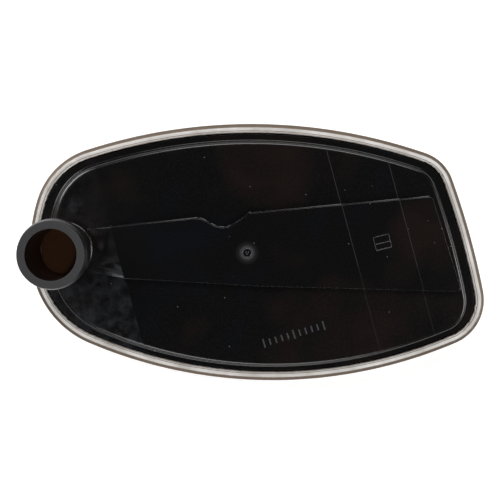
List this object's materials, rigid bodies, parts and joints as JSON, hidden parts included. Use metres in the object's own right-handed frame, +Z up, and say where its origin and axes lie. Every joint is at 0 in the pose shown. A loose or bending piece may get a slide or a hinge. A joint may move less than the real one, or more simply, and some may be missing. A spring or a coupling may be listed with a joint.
{
  "type": "oil filter housing",
  "caption": "Flat crimped oil filter housing with a moulded black cover, a round suction neck and a pressed steel pan.",
  "frame": {"origin": "centre of the whole object's box at the underside of the pan", "axes": "+X along the length, away from the neck; +Z up, out of the neck; +Y towards the wide side"},
  "size_m": [0.2232, 0.126, 0.051],
  "materials": {
    "moulded_cover": "moulded glass-filled nylon, satin black",
    "plated_steel": "tin-plated pressed steel",
    "seal_rubber": "moulded rubber, matte dark grey",
    "gasket_rubber": "matte black rubber",
    "fine_felt": "needled felt, brown",
    "coarse_felt": "needled felt, tan",
    "spacer_plastic": "moulded natural polypropylene",
    "collar_steel": "pressed steel",
    "screen_wire": "woven steel wire"
  },
  "bodies": {
    "root": {"cover": "moulded_cover", "pan": "plated_steel", "neck_seal": "seal_rubber", "rim_gasket": "gasket_rubber", "fine_felt": "fine_felt", "coarse_felt": "coarse_felt", "spacer_grid": "spacer_plastic", "inlet_collar": "collar_steel", "collar_backing_ring": "collar_steel", "inlet_screen": "screen_wire"}
  },
  "joints": []
}
